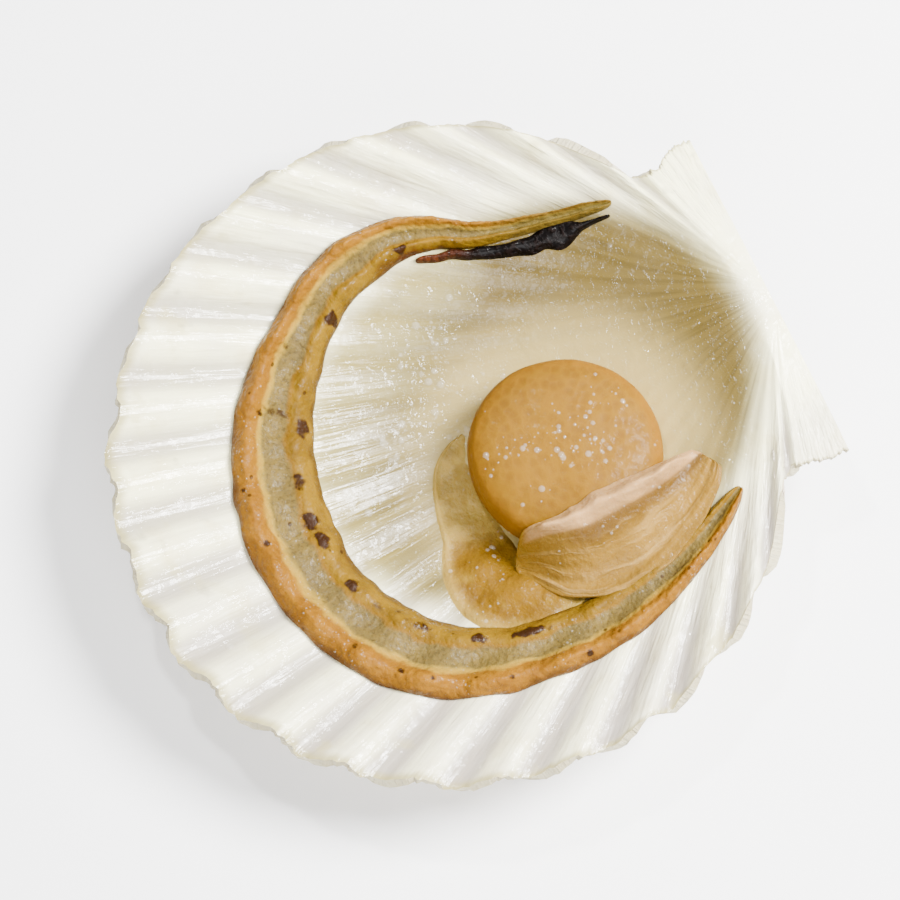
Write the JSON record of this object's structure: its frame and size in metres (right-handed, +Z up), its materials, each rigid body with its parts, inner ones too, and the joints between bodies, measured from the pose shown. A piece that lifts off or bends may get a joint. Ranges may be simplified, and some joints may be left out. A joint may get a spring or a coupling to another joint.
{
  "type": "scallop in shell",
  "caption": "Raw scallop in its lower half shell: a cupped, ribbed, eared valve holding the round muscle, the mantle frill, gill membrane, gonad and gut strand.",
  "frame": {"origin": "centre of the small flat resting spot under the deepest part of the cupped valve", "axes": "+Y from the middle of the fan towards the hinge, +Z up out of the open side, +X to the right seen from above with the hinge away"},
  "size_m": [0.1066, 0.1106, 0.0198],
  "materials": {
    "shell": "pearly inside, chalky and ribbed outside",
    "muscle": "wet and smooth",
    "mantle": "wet, pebbled along the outer roll",
    "membrane": "wet and translucent",
    "gonad": "wet and smooth",
    "gut": "wet and ragged"
  },
  "bodies": {
    "root": {"shell": "shell", "adductor_muscle": "muscle", "mantle_frill": "mantle", "gill_membrane": "membrane", "gonad": "gonad", "gut_strand": "gut"}
  },
  "joints": []
}
